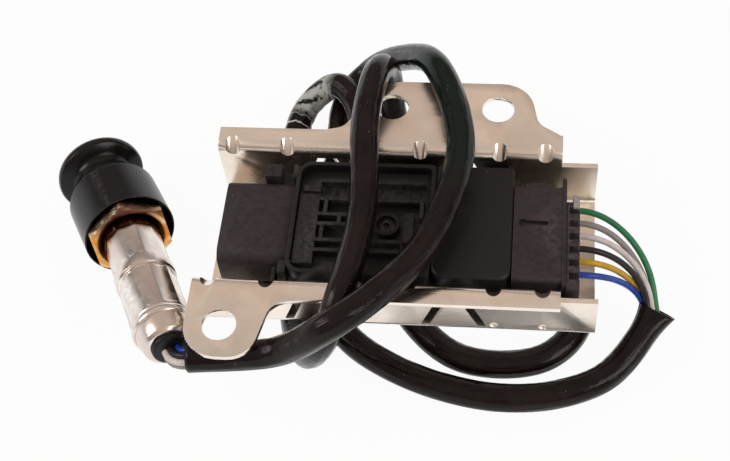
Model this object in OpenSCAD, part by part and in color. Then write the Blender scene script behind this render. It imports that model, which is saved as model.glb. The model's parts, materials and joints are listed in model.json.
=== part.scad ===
// Nitrogen oxide sensor: a probe with a captive nut, a sleeved harness and a module in a steel bracket.
// Millimetres. X runs along the bracket, Y points away from the near flange, Z is up, and Z = 0 is the table.

/* [Overall] */
// Height of the bracket's underside over the table, where two crossed strands of the harness carry it
bracket_lift = 17; // [15:0.5:25]

/* [Bracket] */
// Length of the channel
bracket_l = 108; // [106:0.5:120]
// Width over the outer faces of the two walls
bracket_w = 46.2; // [44:0.1:54]
// Thickness of the sheet
sheet_t = 1.5; // [1:0.1:2]
// Inner radius of the bends
bend_r = 1.5; // [1:0.1:2.5]
// Height of the flanges' top over the underside
flange_h = 22.6; // [21.5:0.1:26]
// Width of a flange outside its wall
flange_out = 5.4; // [4.5:0.1:7]
// Length of the low end of the channel, past the flanges
low_end_l = 10; // [8:0.5:12]
// Height of the walls at the low end
low_end_h = 17.1; // [14:0.1:19]
// Reach of the mounting tabs from the walls
tab_reach = 23.8; // [21:0.1:28]
// Radius of the tabs' round corners
tab_r = 9.5; // [8:0.1:10]
// Diameter of the bolt holes
bolt_d = 9.2; // [6:0.1:11]
// Distance between the two holes of the far tab
bolt_pitch = 30.3; // [24:0.1:32]
// Place of the first far hole along the channel
bolt_x = 49.2; // [46:0.1:52]
// Width of the round recess of a stiffening dart
dart_w = 4.6; // [3.5:0.1:6]
// Leg of a dart's recess along the wall and along the flange
dart_leg = 3.8; // [3.2:0.1:4.4]
// Width of the slots beside a lanced tongue
slot_w = 2.4; // [1.5:0.1:3]

/* [Module] */
// Length of the moulded housing
housing_l = 61.3; // [58:0.1:64]
// Room between the housing and the walls, both sides together
side_room = 5.8; // [4:0.1:9]
// Height of the housing's tray
tray_h = 12.6; // [11:0.1:14]
// Wall of the moulded pieces
wall = 2; // [1.5:0.1:2.5]
// Height of the lid and the smooth cover over the tray
lid_h = 5.5; // [4.5:0.1:7]
// Length of the ribbed lid
lid_l = 39.4; // [36:0.1:42]
// Width of the lid's rim
rim_w = 1.2; // [1:0.1:2]
// Depth of the ribbed floor under the rim
rib_h = 3.2; // [2:0.1:4]
// Thickness of a rib
rib_t = 1.1; // [0.8:0.1:1.6]
// Distance of the centre screw from the lid's left end
cup_x = 26.5; // [24:0.1:29]
// Diameter of the cup around the centre screw
cup_d = 7.6; // [7:0.1:9]
// Diameter of the centre screw
screw_d = 3.4; // [2.5:0.1:4]
// Thickness of the circuit board
board_t = 1.6; // [1:0.1:2]

/* [Vehicle connector] */
// Length of the shroud
shroud_l = 19.8; // [17:0.1:21]
// How far each side of the shroud lies inside the housing's
shroud_inset = 5.1; // [4:0.1:7]
// Height of the shroud
shroud_h = 14.5; // [12:0.5:15]
// Thickness of the floor behind the shroud's pocket
pocket_floor = 2.5; // [2:0.1:4]
// Number of terminal pins
pin_n = 5; // [4:1:6]
// Width of a square terminal pin
pin_w = 1.5; // [1:0.1:2]
// Length of the pins inside the pocket
pin_l = 6; // [4:0.5:7]

/* [Sensor plug] */
// Length of the plug's body
plug_l = 13.2; // [11:0.1:15]
// How far each side of the plug lies inside the housing's
plug_inset = 3; // [2:0.1:5]
// Height of the plug's body
plug_h = 16.5; // [14:0.1:18]
// Thickness of the collar behind the plug
collar_t = 1.2; // [1:0.1:3]
// Length of the rear cover
rear_l = 3.6; // [3:0.1:7]
// How far each side of the rear cover lies inside the housing's
rear_inset = 4.5; // [3:0.1:6]
// Diameter of a lead
lead_d = 1.8; // [1.4:0.1:2.2]
// Distance of the outer leads from the rear cover's sides
lead_edge = 3.55; // [2:0.05:5]
// Height of the leads over the bracket's underside
lead_h = 11; // [8:0.5:13]

/* [Probe] */
// Tilt of the probe's axis, rear end up
probe_tilt = 12.2; // [10:0.05:20]
// Heading of the probe's axis towards its rear end
probe_heading = -63.35; // [-75:0.05:-50]
// Distance of the nut's rear face from the bracket's left end, along
probe_x = 25.44; // [25:0.01:32]
// Distance of the nut's rear face from the bracket's middle, across
probe_y = 1.1; // [-3:0.1:5]
// How much wider the nut is across its flats than its thread
flat_over = 2; // [0:0.5:2.6]
// Thickness of the nut's hexagon
hex_h = 8; // [6:0.5:9]
// Outer diameter of the nut's thread
thread_d = 20; // [19:0.5:20]
// Length of the nut's thread
thread_l = 9; // [7:0.5:10]
// Wall of the nut under its thread
thread_wall = 1.4; // [1:0.1:2]
// Clearance of the body in the nut, all round
turn_gap = 0.35; // [0.3:0.05:0.6]
// Place of the bright ring behind the nut
ring_t = 15.8; // [13:0.1:17]
// Place of the rear shoulder behind the nut
shoulder_t = 37.7; // [34:0.1:39]
// Place of the body's rear end behind the nut
end_t = 46; // [44:0.5:47]
// Diameter of the opening at the rear end
end_d = 10; // [9.5:0.1:11]
// Diameter of the perforated tube
shield_d = 11; // [9:0.1:12]
// Length of the perforated tube ahead of its flange
shield_l = 9; // [7:0.5:10]

/* [Protective cap] */
// Diameter of the cap's disc
disc_d = 26; // [23:0.1:28]
// Distance of the disc's widest plane from the nut's rear face
disc_t = 34.7; // [34:0.1:37]
// Wall of the sleeve at its front, round the thread
front_wall = 1.25; // [1:0.05:2]
// Wall of the sleeve at its rim, beside the nut's corners
cap_wall = 0.5; // [0.4:0.1:1.5]
// Skew of the pushed-on cap from the probe's axis
cap_skew = 4.2; // [0:0.1:5]
// Length of the nut that stands out of the rim
nut_out = 2.7; // [1.5:0.1:4]
// Length of the cap's sleeve
cap_l = 27.4; // [26:0.1:28]
// Diameter of the neck
neck_d = 18; // [17:0.1:20]

/* [Harness] */
// Diameter of the sleeve over the leads
harness_d = 8.2; // [7:0.1:8.2]

/* [Hidden] */
$fn = 48;
cut = 0.01;
fit = 0.1;

// Channel: u runs along it from its left end, v across it from its middle, w up from its underside.
wall_v = bracket_w / 2;
flange_v = wall_v + flange_out;
tab_v = wall_v + tab_reach;
flange_l = bracket_l - low_end_l;
outer_r = bend_r + sheet_t;
dart_u = [4.2, 20, 58, 80.5, 93.3];
tongue_u = [32, 69.7];
slot_bottom = 3.2;
slot_top = 18;
slot_bottom_out = 7.8;
slot_top_out = 2.2;
dimple_u = [80.7, 94];
dimple_w = 4.1;
dimple_d = 2.6;

// Module: it sits on the channel's floor.
housing_w = bracket_w - 2 * sheet_t - side_room;
housing_u = 23.7;
housing_v = 0.5;
housing_end = housing_u + housing_l;
tray_top = sheet_t + tray_h;
lid_top = tray_top + lid_h;
cup_u = housing_u + cup_x;
cup_v = housing_v - 1.6;
cup_depth = 2.6;
head_t = 1.4;
board_w = 6;
board_gap = 1;
half_w = housing_w / 2;
// Ribs of the lid: place across, start and end along, as shares of the half width and of the lid's length
lid_ribs = [[0.63, 0.18, 0.93], [0.305, 0.18, 0.93], [0.03, 0.18, 0.54], [-0.145, 0.18, 0.54],
            [-0.433, 0.18, 0.78], [-0.61, 0.18, 0.78]];
// Short ribs between them: place along, start and end across
cross_ribs = [[0.22, 0.03, 0.305], [0.325, -0.145, 0.03], [0.21, -0.433, -0.145], [0.9, 0.03, 0.305]];
// Flat pads of the lid: start and end along, start and end across
lid_pads = [[0.04, 0.185, -0.81, 0.43], [0.06, 0.183, 0.48, 0.59], [0.795, 0.865, -0.4, 0.13]];
rib_drop = 0.4;
pad_drop = 0.9;
cover_bevel = 0.6;

// Vehicle connector
shroud_w = housing_w - 2 * shroud_inset;
shroud_w0 = sheet_t + (tray_h + lid_h - shroud_h) / 2;
pocket_wall = 1.8;
pocket_depth = shroud_l - pocket_floor;
pin_pitch = (shroud_w - 2 * pocket_wall - pin_w) / pin_n;
ear_l = 9.3;
ear_u = housing_u - ear_l;
ear_v = 4.4;
ear_w = 18.8;

// Plug and leads.
plug_w = housing_w - 2 * plug_inset;
rear_w = housing_w - 2 * rear_inset;
plug_v = -2.4;
plug_w0 = lid_top - plug_h;
plug_end = housing_end + plug_l;
rear_u = plug_end + collar_t;
rear_end = rear_u + rear_l;
rear_v = -5.7;
collar_v = -1.4;
recess_in = 2.6;
recess_v = 2.9;
recess_w = 1.4;
recess_t = 1.2;
lead_v0 = 0.35;
lead_pitch = (rear_w - 2 * lead_edge) / 5;

// Probe: t runs along its axis from the nut's rear face, positive towards the rear end.
body_d = thread_d - 2 * (thread_wall + turn_gap);
thread_end = hex_h + thread_l;
seal_t = 1.2;
flange_t = 1.6;
shield_t = thread_end + seal_t + flange_t;
ring_l = 4.2;
ring_out = 0.45;
crimp_l = 2.6;
seat_drop = 0.2;
grommet_depth = 6;
grommet_out = 1.5;

// Cap: it turns with the nut, and its own axis crosses the probe's at pivot_t ahead of the nut's rear face.
rim_t = nut_out;
cap_front_t = nut_out + cap_l;
pivot_t = (rim_t + hex_h) / 2;
play = 0.3;
nut_af = thread_d + flat_over;
corner_r = nut_af / cos(30) / 2;
cap_rim_d = 2 * (corner_r + play + cap_wall);
step_t = hex_h + play + corner_r * tan(cap_skew);
thread_bore = thread_d / 2 + (thread_end - pivot_t) * tan(cap_skew) + play;
cap_front_d = 2 * (thread_bore + front_wall);
shield_bore = shield_d / 2 + (shield_t + turn_gap + shield_l - pivot_t) * tan(cap_skew) + play;

// Places: the box round the bracket, module and probe is centred on the origin.
probe_dir = [cos(probe_tilt) * cos(probe_heading), cos(probe_tilt) * sin(probe_heading), sin(probe_tilt)];
cap_x = cos(probe_tilt) * cos(probe_heading + cap_skew);
front_reach = pivot_t * probe_dir[0] + (disc_t - pivot_t) * cap_x + disc_d / 2 * sqrt(1 - cap_x * cap_x);
footprint_l = bracket_l + probe_x + front_reach;
bracket_left = footprint_l / 2 - bracket_l;
nut_face = [bracket_left - probe_x, probe_y, disc_d / 2 * cos(probe_tilt) + disc_t * sin(probe_tilt)];

// Harness: the middle of the sleeve, from the probe's end to the module's end, from a zero along the bracket
route_zero = 28.85;
harness_points = [
    [-28, -43.5, 32], [-4.5, -41.5, 34], [11.5, -41, 48.5], [22, -31.5, 48.5], [34, -12, 45], [41, 19.5, 45],
    [32.5, 49, 44], [20.5, 67.5, 27], [8, 77.5, 8.5], [1, 70, 4.5], [1, 48, 4.5], [14, 18, 4.2],
    [27.5, -11.5, 4.2], [43, -24.5, 4.2], [65, -23.5, 4.2], [75, -12, 4.2], [71, 5, 4.5], [50, 23, 4.2],
    [26.5, 36.5, 6], [18.5, 52.5, 15.5], [17, 57.5, 30], [15.5, 48.5, 43], [14, 28, 47], [15.5, -4, 43.5],
    [12, -31, 44], [8, -36.5, 34], [0.5, -31.5, 15.5], [-6, -15.5, 5], [-11, 13.5, 4.5], [-14.5, 45, 4.2],
    [-11, 64, 6.5], [-1.5, 67.5, 13], [6, 58.5, 13.5], [8, 33, 13], [7, 3, 9.5], [6.5, -14.5, 4.2],
    [24.5, -29, 4.5], [56, -36.5, 4.5], [82, -29, 4.2], [97, -9.5, 10]];
harness_path = [for (p = harness_points) p + [bracket_left + route_zero, 0, 0]];
harness_n = len(harness_path);
mouth = harness_path[harness_n - 1];
mouth_dir = unit([0.4, 0.7, 0.6]);
inlet = harness_path[0];
inlet_dir = unit(harness_path[1] - inlet);
// Places of the leads in the bundle, to the left and up, from the plug's far lead to its near one
bundle = [[2.6, 0.1], [1.5, -1.6], [0.6, 0.5], [-1.3, 0.7], [-0.7, -1.6], [-2.6, -0.9]];
bundle_shift = 0.5;
lead_reach = 14;
mouth_reach = 9;
probe_reach = 2.5;

function unit(v) = v / norm(v);
function left_of(t) = unit(cross([0, 0, 1], t));
// Outline with round corners from points of x, y and radius
function corner(a, b, c, r, n = 6) =
    let (ba = unit([a[0] - b[0], a[1] - b[1]]), bc = unit([c[0] - b[0], c[1] - b[1]]),
         half = acos(ba * bc) / 2, mid = unit(ba + bc), o = [b[0], b[1]] + mid * r / sin(half),
         turn = sign(cross(ba, bc)) * (90 - half))
    r == 0 ? [[b[0], b[1]]]
           : [for (k = [0:n]) let (s = turn * (1 - 2 * k / n), m = -mid)
                  o + r * [m[0] * cos(s) - m[1] * sin(s), m[0] * sin(s) + m[1] * cos(s)]];
function rounded(p, n = 6) =
    let (m = len(p)) [for (i = [0:m - 1]) each corner(p[(i + m - 1) % m], p[i], p[(i + 1) % m], p[i][2], n)];
function oblong(l, w, r) = rounded([[0, -w / 2, r], [l, -w / 2, r], [l, w / 2, r], [0, w / 2, r]]);
function block_outline(w, z0, z1, r_low, r_top) =
    rounded([[-w / 2, z0, r_low], [w / 2, z0, r_low], [w / 2, z1, r_top], [-w / 2, z1, r_top]]);

// Sweep of a round section along a path, with its end faces square to the given directions
function headings(p, first, last) =
    [for (i = [0:len(p) - 1])
        i == 0 ? first : i == len(p) - 1 ? last : unit(unit(p[i + 1] - p[i]) + unit(p[i] - p[i - 1]))];
function carried(t) =
    [for (i = 0, n = left_of(t[0]); i < len(t);
          i = i + 1, n = unit(n - (n * t[min(i, len(t) - 1)]) * t[min(i, len(t) - 1)])) n];
module swept_tube(path, d, first, last, sides = 8) {
    t = headings(path, first, last);
    n = carried(t);
    rings = len(path);
    points = [for (i = [0:rings - 1]) for (k = [0:sides - 1])
        path[i] + d / 2 * (n[i] * cos(360 * k / sides) + cross(t[i], n[i]) * sin(360 * k / sides))];
    skin = [for (i = [0:rings - 2]) for (k = [0:sides - 1])
        [i * sides + k, (i + 1) * sides + k, (i + 1) * sides + (k + 1) % sides, i * sides + (k + 1) % sides]];
    ends = [[for (k = [0:sides - 1]) k], [for (k = [sides - 1:-1:0]) (rings - 1) * sides + k]];
    polyhedron(points, concat(skin, ends));
}

module on_bracket() translate([bracket_left, 0, bracket_lift]) children();
module along_channel(l) rotate([90, 0, 90]) linear_extrude(l) children();
module on_probe(t) translate(nut_face) rotate([0, 90 - probe_tilt, probe_heading])
    translate([0, 0, t]) children();
module on_cap() translate(nut_face - pivot_t * probe_dir)
    rotate([0, 90 - probe_tilt, probe_heading + cap_skew]) translate([0, 0, pivot_t]) children();

// Bracket
module hat_section() polygon(rounded([
    [-flange_v, flange_h, 0], [-wall_v + sheet_t, flange_h, outer_r], [-wall_v + sheet_t, sheet_t, bend_r],
    [wall_v - sheet_t, sheet_t, bend_r], [wall_v - sheet_t, flange_h, outer_r], [flange_v, flange_h, 0],
    [flange_v, flange_h - sheet_t, 0], [wall_v, flange_h - sheet_t, bend_r], [wall_v, 0, outer_r],
    [-wall_v, 0, outer_r], [-wall_v, flange_h - sheet_t, bend_r], [-flange_v, flange_h - sheet_t, 0]]));
module low_section() polygon(rounded([
    [-wall_v, low_end_h, 0], [-wall_v + sheet_t, low_end_h, 0], [-wall_v + sheet_t, sheet_t, bend_r],
    [wall_v - sheet_t, sheet_t, bend_r], [wall_v - sheet_t, low_end_h, 0], [wall_v, low_end_h, 0],
    [wall_v, 0, outer_r], [-wall_v, 0, outer_r]]));
module near_tab() polygon(rounded([
    [0, -wall_v - outer_r, 0], [0, -tab_v, tab_r], [18.6, -tab_v, 7.5], [22.4, -flange_v - 1, 6],
    [38, -flange_v, 4], [38, -wall_v - outer_r, 0]]));
module far_tab() polygon(rounded([
    [bolt_x - 22, wall_v + outer_r, 0], [bolt_x - 20, flange_v - 0.3, 3], [bolt_x - 13.5, flange_v + 1.2, 5],
    [bolt_x - 3.5, tab_v, tab_r], [bolt_x + bolt_pitch + 8.6, tab_v, tab_r],
    [bolt_x + bolt_pitch + 11.5, flange_v + 4, 5], [bolt_x + bolt_pitch + 18, flange_v, 2],
    [bolt_x + bolt_pitch + 18, wall_v + outer_r, 0]]));
// A dart is a round rib across the bend: its recess opens inwards, and its back stands out under the flange.
dart_r = dart_w / 2;
dart_back = dart_r + 0.8 * sheet_t;
dart_off = dart_leg / 2 - dart_r / sqrt(2);
module dart_rod(side, r) scale([1, side, 1]) translate([0, wall_v - sheet_t + dart_off, flange_h - dart_off])
    rotate([-45, 0, 0]) cylinder(h = 6 * dart_leg, r = r, center = true);
module dart(side) intersection() {
    dart_rod(side, dart_back);
    scale([1, side, 1]) translate([-dart_back, wall_v - cut, flange_h - sheet_t - 2 * dart_leg])
        cube([2 * dart_back, 2 * dart_leg, 2 * dart_leg + cut]);
}
module slot(out_sign) rotate([90, 0, 0]) linear_extrude(bracket_w + 2, center = true)
    polygon([for (p = [[slot_bottom_out, slot_bottom, -1], [slot_bottom_out, slot_bottom, 1],
                       [slot_top_out, slot_top, 1], [slot_top_out, slot_top, -1]])
             [out_sign * p[0] + p[2] * slot_w / 2, p[1]]]);
module dimple(u, side) translate([u, side * (wall_v + 0.3), dimple_w]) sphere(d = dimple_d);
module mounting_bracket() color([0.74, 0.69, 0.64]) on_bracket() difference() {
    union() {
        along_channel(flange_l) hat_section();
        along_channel(bracket_l) low_section();
        translate([0, 0, flange_h - sheet_t]) linear_extrude(sheet_t) near_tab();
        translate([0, 0, flange_h - sheet_t]) linear_extrude(sheet_t) far_tab();
        for (u = dart_u) for (s = [-1, 1]) translate([u, 0, 0]) dart(s);
    }
    for (u = dart_u) for (s = [-1, 1]) translate([u, 0, 0]) dart_rod(s, dart_r);
    for (p = [[tab_r, -tab_v + tab_r], [bolt_x, tab_v - tab_r], [bolt_x + bolt_pitch, tab_v - tab_r]])
        translate([p[0], p[1], flange_h - 2 * sheet_t]) cylinder(h = 3 * sheet_t, d = bolt_d);
    for (u = tongue_u) for (s = [-1, 1]) translate([u, 0, 0]) slot(s);
    for (u = dimple_u) dimple(u, -1);
}

// Module
module on_module(u, w) on_bracket() translate([u, housing_v, w]) children();
module ear(u0, u1, side, v, w0, w1)
    translate([u0, side > 0 ? shroud_w / 2 : -shroud_w / 2 - v, w0 - sheet_t]) cube([u1 - u0, v, w1 - w0]);
module module_housing() color([0.13, 0.12, 0.13]) on_module(0, sheet_t) difference() {
    union() {
        translate([housing_u, 0, 0]) linear_extrude(tray_h) polygon(oblong(housing_l, housing_w, 3));
        ear(ear_u, housing_u + cut, 1, ear_v, 7, tray_top);
        ear(ear_u + 5, ear_u + 6, -1, ear_v + 0.6, 7, tray_top);
        ear(ear_u + 7, housing_u + cut, -1, ear_v, 7, tray_top);
        ear(ear_u, ear_u + 4.6, 1, ear_v, tray_top - cut, ear_w);
        ear(ear_u + 8, housing_u, 1, ear_v, tray_top - cut, ear_w);
        ear(ear_u + 7, housing_u, -1, ear_v - 0.6, tray_top - cut, ear_w - 1.5);
    }
    translate([housing_u + wall, 0, board_w - sheet_t]) linear_extrude(tray_h - wall - board_w + sheet_t)
        polygon(oblong(lid_l - wall, housing_w - 2 * wall, 2));
    translate([cup_u, cup_v - housing_v, board_w + board_t + fit - sheet_t])
        cylinder(h = lid_h + tray_h, d = screw_d + 2 * fit);
}
module circuit_board() color([0.1, 0.35, 0.2]) on_module(housing_u + wall + board_gap, board_w)
    translate([0, -half_w + wall + board_gap, 0])
        cube([lid_l - wall - 2 * board_gap, housing_w - 2 * (wall + board_gap), board_t]);
module lid_outline(inset) translate([inset, 0]) polygon(rounded([
    [0, inset - half_w, 4.5 - inset], [lid_l - 2 * inset, inset - half_w, 1.5],
    [lid_l - 2 * inset, half_w - inset, 1.5], [0, half_w - inset, 4.5 - inset]]));
module on_lid_floor(s0, s1, v0, v1, drop) translate([s0 * lid_l, v0 * half_w, lid_h - rib_h - cut])
    cube([(s1 - s0) * lid_l, (v1 - v0) * half_w, rib_h - drop]);
module module_lid() color([0.12, 0.11, 0.12]) on_module(housing_u, tray_top) difference() {
    union() {
        difference() {
            linear_extrude(lid_h) lid_outline(0);
            translate([0, 0, lid_h - rib_h]) linear_extrude(rib_h + 1) lid_outline(rim_w);
        }
        translate([cup_x, cup_v - housing_v, 0]) cylinder(h = lid_h - rib_drop, d = cup_d);
        for (r = lid_ribs) on_lid_floor(r[1], r[2], r[0], r[0] + rib_t / half_w, rib_drop);
        for (r = cross_ribs) on_lid_floor(r[0], r[0] + rib_t / lid_l, r[1], r[2], rib_drop);
        for (p = lid_pads) on_lid_floor(p[0], p[1], p[2], p[3], pad_drop);
    }
    translate([cup_x, cup_v - housing_v, lid_h - cup_depth])
        cylinder(h = cup_depth + 1, d = cup_d - 2 * rib_t);
    translate([cup_x, cup_v - housing_v, -1]) cylinder(h = lid_h + 2, d = screw_d + 2 * fit);
}
function cover_outline(l, i) = rounded([
    [i, i - half_w, 4], [l - i, i - half_w, 3.5], [l - i, half_w - i, 1.5], [i, half_w - i, 0.5]]);
module smooth_cover() color([0.12, 0.11, 0.12]) on_module(housing_u + lid_l, tray_top) hull() {
    linear_extrude(lid_h - cover_bevel) polygon(cover_outline(housing_l - lid_l, 0));
    linear_extrude(lid_h) polygon(cover_outline(housing_l - lid_l, cover_bevel));
}
module centre_screw() color([0.2, 0.2, 0.2]) on_bracket() translate([cup_u, cup_v, 0]) difference() {
    union() {
        translate([0, 0, board_w + board_t + fit])
            cylinder(h = lid_top - cup_depth - board_w - board_t - fit, d = screw_d);
        translate([0, 0, lid_top - cup_depth]) cylinder(h = head_t, d = cup_d - 2 * rib_t - 2 * fit);
    }
    translate([0, 0, lid_top - cup_depth + head_t / 3]) cylinder(h = head_t, d = screw_d / 2, $fn = 6);
}

// Vehicle connector
module connector_shroud() color([0.14, 0.13, 0.14]) on_module(housing_u - shroud_l, 0) difference() {
    along_channel(shroud_l) polygon(block_outline(shroud_w, shroud_w0, shroud_w0 + shroud_h, 4, 4));
    translate([-cut, 0, 0]) along_channel(pocket_depth) polygon(block_outline(
        shroud_w - 2 * pocket_wall, shroud_w0 + pocket_wall, shroud_w0 + shroud_h - pocket_wall, 2.5, 2.5));
}
module terminal_pins() color([0.72, 0.6, 0.3])
    on_module(housing_u - shroud_l + pocket_depth - cut - pin_l, shroud_w0 + shroud_h / 2 - pin_w / 2)
        for (k = [0:pin_n - 1]) translate([0, (k - (pin_n - 1) / 2) * pin_pitch - pin_w / 2, 0])
            cube([pin_l, pin_w, pin_w]);

// Sensor plug
module plug_block(u, l, v, w, drop, r_top) translate([u, v, 0]) along_channel(l)
    polygon(block_outline(w, plug_w0, lid_top - drop, 2, r_top));
module plug_housing() color([0.13, 0.12, 0.13]) on_bracket() difference() {
    plug_block(housing_end, plug_l, plug_v, plug_w, 0, 1.5);
    translate([housing_end + recess_in, plug_v + recess_v, lid_top - recess_t]) {
        translate([0, -recess_w / 2, 0]) cube([plug_l - 2.5 * recess_in, recess_w, 2 * recess_t]);
        cylinder(h = 2 * recess_t, d = 1.7 * recess_w);
    }
}
module plug_collar() color([0.16, 0.15, 0.16]) on_bracket()
    plug_block(plug_end, collar_t, collar_v, housing_w - 2, 0, 1);
module plug_rear_cover() color([0.11, 0.1, 0.11]) on_bracket() difference() {
    plug_block(rear_u, rear_l, rear_v, rear_w, 0.4, 1);
    for (k = [0:5]) translate([rear_u + 0.8, rear_v + (k - 2.5) * lead_pitch - 0.7, lid_top - 1.9])
        cube([rear_l, lead_pitch / 2, 2]);
}
module plug_latch() color([0.15, 0.14, 0.15]) on_bracket()
    translate([housing_end + 3, plug_v + plug_w / 2, lid_top - 7]) cube([plug_l - 5, 3, 4]);
module plug_lock() color([0.5, 0.48, 0.47]) on_bracket()
    translate([rear_u + 1, rear_v + rear_w / 2, lid_top - 9]) along_channel(rear_l - 1.4)
        polygon([[0, 0], [5.5, 0], [1.5, 5.5], [0, 5.5]]);

// Probe
nut_bore = body_d / 2 + turn_gap;
module sleeve_nut() color([0.72, 0.42, 0.18]) on_probe(0) difference() {
    union() {
        intersection() {
            translate([0, 0, -hex_h]) cylinder(h = hex_h, r = corner_r, $fn = 6);
            rotate_extrude() polygon([
                [0, cut], [nut_af / 2 + 0.2, cut], [corner_r + 0.2, -(corner_r - nut_af / 2) * tan(30)],
                [corner_r + 0.2, -hex_h - cut], [0, -hex_h - cut]]);
        }
        translate([0, 0, -thread_end]) cylinder(h = thread_l + cut, d = thread_d);
    }
    translate([0, 0, -thread_end - 1]) cylinder(h = thread_end + 2, r = nut_bore);
    rotate_extrude() polygon([[0, cut], [nut_bore + 1.3 + cut, cut], [nut_bore - cut, -1.3], [0, -1.3]]);
}
module seal_ring() color([0.8, 0.5, 0.25]) on_probe(-thread_end - turn_gap - seal_t) difference() {
    cylinder(h = seal_t, d = thread_d - 1);
    translate([0, 0, -1]) cylinder(h = seal_t + 2, d = body_d + fit);
}
// Flats that the crimping leaves on the body, over a length from t0 to t1
module crimp_flats(t0, t1) for (a = [0:36:324]) rotate([0, 0, a])
    translate([body_d / 2 - 0.3, -body_d / 4, t0]) cube([2, body_d / 2, t1 - t0]);
module probe_body() color([0.72, 0.68, 0.62]) on_probe(0) difference() {
    rotate_extrude() polygon([
        [0, -shield_t - turn_gap], [thread_d / 2 - 0.6, -shield_t - turn_gap],
        [thread_d / 2 - 0.6, -thread_end - seal_t - turn_gap], [body_d / 2, -thread_end - seal_t - turn_gap],
        [body_d / 2, ring_t], [body_d / 2 + ring_out, ring_t + ring_out],
        [body_d / 2 + ring_out, ring_t + ring_l - ring_out], [body_d / 2, ring_t + ring_l],
        [body_d / 2, shoulder_t - 0.5], [body_d / 2 - seat_drop, shoulder_t],
        [body_d / 2 - seat_drop, shoulder_t + crimp_l], [body_d / 2 - 0.7, end_t - 3],
        [end_d / 2 + 1.9, end_t - 0.8], [end_d / 2 + 1, end_t], [end_d / 2, end_t],
        [end_d / 2, end_t - grommet_depth], [0, end_t - grommet_depth]]);
    crimp_flats(2, ring_t - 1);
    crimp_flats(ring_t + ring_l + 1, shoulder_t - 1.5);
}
module crimp_ring() color([0.78, 0.74, 0.68]) on_probe(shoulder_t) rotate_extrude() polygon([
    [body_d / 2 - seat_drop, 0], [body_d / 2 + 0.3, 0.2], [body_d / 2 + ring_out, crimp_l / 3],
    [body_d / 2 + ring_out, crimp_l * 2 / 3], [body_d / 2 + 0.2, crimp_l - 0.2],
    [body_d / 2 - seat_drop, crimp_l]]);
module rear_grommet() color([0.08, 0.08, 0.08]) on_probe(end_t - grommet_depth)
    cylinder(h = grommet_depth + grommet_out, d = end_d);
tube_wall = 0.6;
tip_gap = 2.5;
module perforated_tube() color([0.6, 0.55, 0.5]) on_probe(-shield_t - turn_gap - shield_l) difference() {
    cylinder(h = shield_l, d = shield_d);
    translate([0, 0, tube_wall]) cylinder(h = shield_l, d = shield_d - 2 * tube_wall);
    for (a = [0:60:300]) rotate([0, 0, a]) translate([0, 0, shield_l / 2]) rotate([90, 0, 0])
        cylinder(h = shield_d, d = shield_d / 5.5);
}
module inner_tube() color([0.6, 0.57, 0.53])
    on_probe(-shield_t - turn_gap - shield_l + tip_gap) difference() {
    cylinder(h = shield_l - tip_gap, d = shield_d - 5 * tube_wall);
    translate([0, 0, tube_wall]) cylinder(h = shield_l, d = shield_d - 7 * tube_wall);
}
module sensing_element() color([0.9, 0.9, 0.86]) on_probe(-shield_t - turn_gap - shield_l + 1.8 * tip_gap)
    translate([-shield_d / 6, -tube_wall, 0]) cube([shield_d / 3, 2 * tube_wall, shield_l - 1.8 * tip_gap]);

// Cap
module protective_cap() color([0.1, 0.1, 0.11]) on_cap() rotate_extrude() polygon([
    [0, -disc_t - 4.2], [disc_d / 2 - 5, -disc_t - 4], [disc_d / 2 - 1.8, -disc_t - 2.8],
    [disc_d / 2 - 0.85, -disc_t - 1.4], [disc_d / 2, -disc_t], [disc_d / 2 - 0.3, -disc_t + 1.1],
    [disc_d / 2 - 1.6, -disc_t + 1.9],
    [neck_d / 2, -disc_t + 2.3], [neck_d / 2, -cap_front_t], [cap_front_d / 2 - 1, -cap_front_t],
    [cap_front_d / 2, -cap_front_t + 0.8], [cap_rim_d / 2 - 0.3, -hex_h - 3], [cap_rim_d / 2, -hex_h],
    [cap_rim_d / 2, -rim_t], [corner_r + play, -rim_t], [corner_r + play, -step_t],
    [thread_bore, -step_t], [thread_bore, -shield_t - 1.5], [shield_bore, -shield_t - 1.5],
    [shield_bore, -shield_t - shield_l - 1.5], [0, -shield_t - shield_l - 1.5]]);

// Harness and leads
module harness_sleeve() color([0.09, 0.08, 0.09])
    swept_tube(harness_path, harness_d, inlet_dir, mouth_dir, 12);
// Middle of the fan or bundle of leads, leaving and arriving along the given directions
function lead_arc(a, a_dir, b, b_dir, reach_a, reach_b, n) =
    let (p = a + reach_a * a_dir, q = b - reach_b * b_dir)
    [for (k = [0:n]) let (s = k / n, r = 1 - s) r * r * r * a + 3 * s * r * (r * p + s * q) + s * s * s * b];
// One lead of it: off the middle by from, to the left and up, where it starts, and by to where it ends
function beside(arc, first, last, from, to) =
    let (t = headings(arc, first, last), n = len(arc) - 1)
    [for (k = [0:n])
        let (s = k / n, f = s * s * (3 - 2 * s), off = from * (1 - f) + to * f, left = left_of(t[k]))
        arc[k] + off[0] * left + off[1] * cross(t[k], left)];
function plug_arc(k) =
    beside(lead_arc([bracket_left + rear_end, lead_v0, bracket_lift + lead_h], [1, 0, 0],
                    mouth - bundle_shift * left_of(-mouth_dir), -mouth_dir, lead_reach, mouth_reach, 9),
           [1, 0, 0], -mouth_dir, [(2.5 - k) * lead_pitch, 0], bundle[k]);
grommet_face = nut_face + (end_t + grommet_out) * probe_dir;
function probe_arc(k) =
    beside(lead_arc(grommet_face, probe_dir, inlet, inlet_dir, probe_reach, probe_reach, 5),
           probe_dir, inlet_dir, bundle[k], bundle[k]);
module lead(k, shade) color(shade) {
    swept_tube(plug_arc(k), lead_d, [1, 0, 0], -mouth_dir);
    swept_tube(probe_arc(k), lead_d, probe_dir, inlet_dir);
}
module lead_green() lead(0, [0.3, 0.52, 0.35]);
module lead_grey() lead(1, [0.6, 0.57, 0.56]);
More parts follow.
